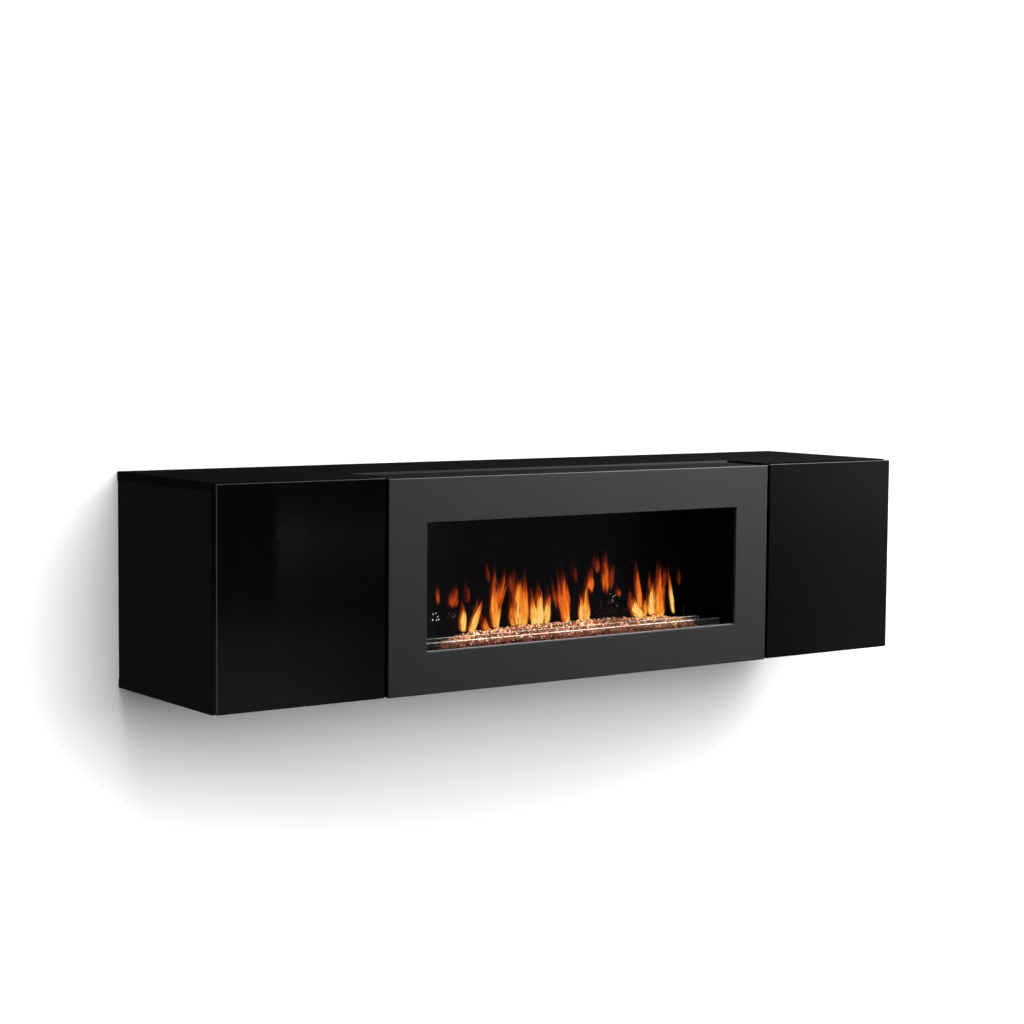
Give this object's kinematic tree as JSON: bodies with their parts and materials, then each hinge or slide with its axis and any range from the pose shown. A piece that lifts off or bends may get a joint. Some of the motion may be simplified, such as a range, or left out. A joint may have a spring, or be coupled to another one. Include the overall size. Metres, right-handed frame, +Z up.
{
  "type": "electric fireplace",
  "caption": "Long wall-hung black cabinet with a steel-framed glass flame window over a crystal bed in the middle and a hinged gloss door at each end.",
  "frame": {"origin": "middle of the centre hanging rail's screw line, on the wall plane", "axes": "+Y into the wall, the fronts face -Y, +Z up, +X to the right seen from the front"},
  "size_m": [1.6, 0.381, 0.4],
  "materials": {
    "black_laminate": "fine-grained matt melamine laminate",
    "hardboard": "black painted hardboard",
    "black_gloss": "high-gloss lacquer",
    "graphite_steel": "fine-texture graphite powder coat",
    "clear_glass": "clear toughened glass",
    "clear_acrylic": "clear acrylic with polished edges",
    "black_rubber": "foam rubber",
    "black_steel": "satin black stove paint",
    "black_gloss_floor": "glossy black",
    "dark_screen": "dark smoked screen",
    "crystal": "clear glass crystals lit from below",
    "circuit_board": "solder-masked board",
    "bright_sheet": "bright rolled sheet",
    "zinc_steel": "zinc plated",
    "nickel_steel": "nickel plated",
    "motor_metal": "laminated steel and copper windings",
    "heater_ceramic": "ceramic blocks with sheathed rods",
    "grey_plastic": "moulded plastic",
    "black_plastic": "moulded plastic"
  },
  "bodies": {
    "cabinet": {"acrylic_strip": "clear_acrylic", "blower_housing": "black_steel", "blower_motor": "motor_metal", "cabinet_hangers": "zinc_steel", "cam_fittings": "zinc_steel", "casing_ends": "black_steel", "casing_shell": "black_steel", "centre_back_panel": "hardboard", "centre_bottom_board": "black_laminate", "centre_side_boards": "black_laminate", "centre_top_board": "black_laminate", "chamber_floor": "black_gloss_floor", "chamber_liner": "black_steel", "control_board": "circuit_board", "crystal_bed": "crystal", "ember_led_strip": "circuit_board", "ember_tray": "black_steel", "flame_led_strip": "circuit_board", "flame_screen": "dark_screen", "front_frame": "graphite_steel", "front_glass": "clear_glass", "front_panel": "black_steel", "glass_gasket": "black_rubber", "heating_element": "heater_ceramic", "hinge_arms": "nickel_steel", "hinge_plates": "nickel_steel", "intake_grille": "black_steel", "left_back_panel": "hardboard", "left_bottom_board": "black_laminate", "left_inner_side": "black_laminate", "left_outer_side": "black_laminate", "left_top_board": "black_laminate", "outlet_grille": "black_steel", "power_inlet": "black_plastic", "power_supply": "zinc_steel", "push_latches": "grey_plastic", "right_back_panel": "hardboard", "right_bottom_board": "black_laminate", "right_inner_side": "black_laminate", "right_outer_side": "black_laminate", "right_top_board": "black_laminate", "rotor_bearings": "zinc_steel", "rotor_motor": "motor_metal", "switch_panel": "black_plastic", "thermal_cutout": "zinc_steel", "unit_brackets": "zinc_steel", "wall_rails": "zinc_steel"},
    "left_links": {"left_hinge_links": "nickel_steel"},
    "left_door": {"left_door": "black_gloss", "left_hinge_cups": "nickel_steel"},
    "right_links": {"right_hinge_links": "nickel_steel"},
    "right_door": {"right_door": "black_gloss", "right_hinge_cups": "nickel_steel"},
    "left_plunger": {"left_latch_plunger": "grey_plastic"},
    "right_plunger": {"right_latch_plunger": "grey_plastic"},
    "rotor": {"flame_rotor": "bright_sheet"},
    "impeller": {"blower_impeller": "bright_sheet"},
    "rocker": {"rocker_switch": "black_plastic"},
    "flame_push": {"flame_button": "black_plastic"},
    "heat_push": {"heat_button": "black_plastic"}
  },
  "joints": [
    {"name": "left_link_pivot", "type": "hinge", "parent": "cabinet", "child": "left_links", "pos_m": [-0.759, -0.3578, -0.145], "axis": [0, 0, 1], "range_deg": [0, 36.87]},
    {"name": "left_door_hinge", "type": "hinge", "parent": "left_links", "child": "left_door", "pos_m": [-0.7872, -0.366, -0.145], "axis": [0, 0, -1], "range_deg": [0, 131.67]},
    {"name": "left_latch_slide", "type": "slide", "parent": "cabinet", "child": "left_plunger", "axis": [0, -1, 0], "range_m": [0, 0.0382]},
    {"name": "right_link_pivot", "type": "hinge", "parent": "cabinet", "child": "right_links", "pos_m": [0.759, -0.3578, -0.145], "axis": [0, 0, -1], "range_deg": [0, 36.87]},
    {"name": "right_door_hinge", "type": "hinge", "parent": "right_links", "child": "right_door", "pos_m": [0.7872, -0.366, -0.145], "axis": [0, 0, 1], "range_deg": [0, 131.67]},
    {"name": "right_latch_slide", "type": "slide", "parent": "cabinet", "child": "right_plunger", "axis": [0, -1, 0], "range_m": [0, 0.0382]},
    {"name": "rotor_spin", "type": "hinge", "parent": "cabinet", "child": "rotor", "pos_m": [0, -0.28, -0.25], "axis": [1, 0, 0], "continuous": true},
    {"name": "impeller_spin", "type": "hinge", "parent": "cabinet", "child": "impeller", "pos_m": [0, -0.338, -0.311], "axis": [1, 0, 0], "continuous": true},
    {"name": "rocker_tilt", "type": "hinge", "parent": "cabinet", "child": "rocker", "pos_m": [0.347, -0.338, -0.3394], "axis": [0, -1, 0], "range_deg": [0, 16]},
    {"name": "flame_press", "type": "slide", "parent": "cabinet", "child": "flame_push", "axis": [0, 0, 1], "range_m": [0, 0.0015], "stiffness_N_per_m": 300, "springref_m": -0.0008},
    {"name": "heat_press", "type": "slide", "parent": "cabinet", "child": "heat_push", "axis": [0, 0, 1], "range_m": [0, 0.0015], "stiffness_N_per_m": 300, "springref_m": -0.0008}
  ],
  "couplings": [
    {"joint": "left_link_pivot", "follows": "left_door_hinge", "ratio": 0.2785},
    {"joint": "left_latch_slide", "follows": "left_door_hinge", "m_per_rad": 0.016536},
    {"joint": "right_link_pivot", "follows": "right_door_hinge", "ratio": 0.2785},
    {"joint": "right_latch_slide", "follows": "right_door_hinge", "m_per_rad": 0.016536}
  ]
}
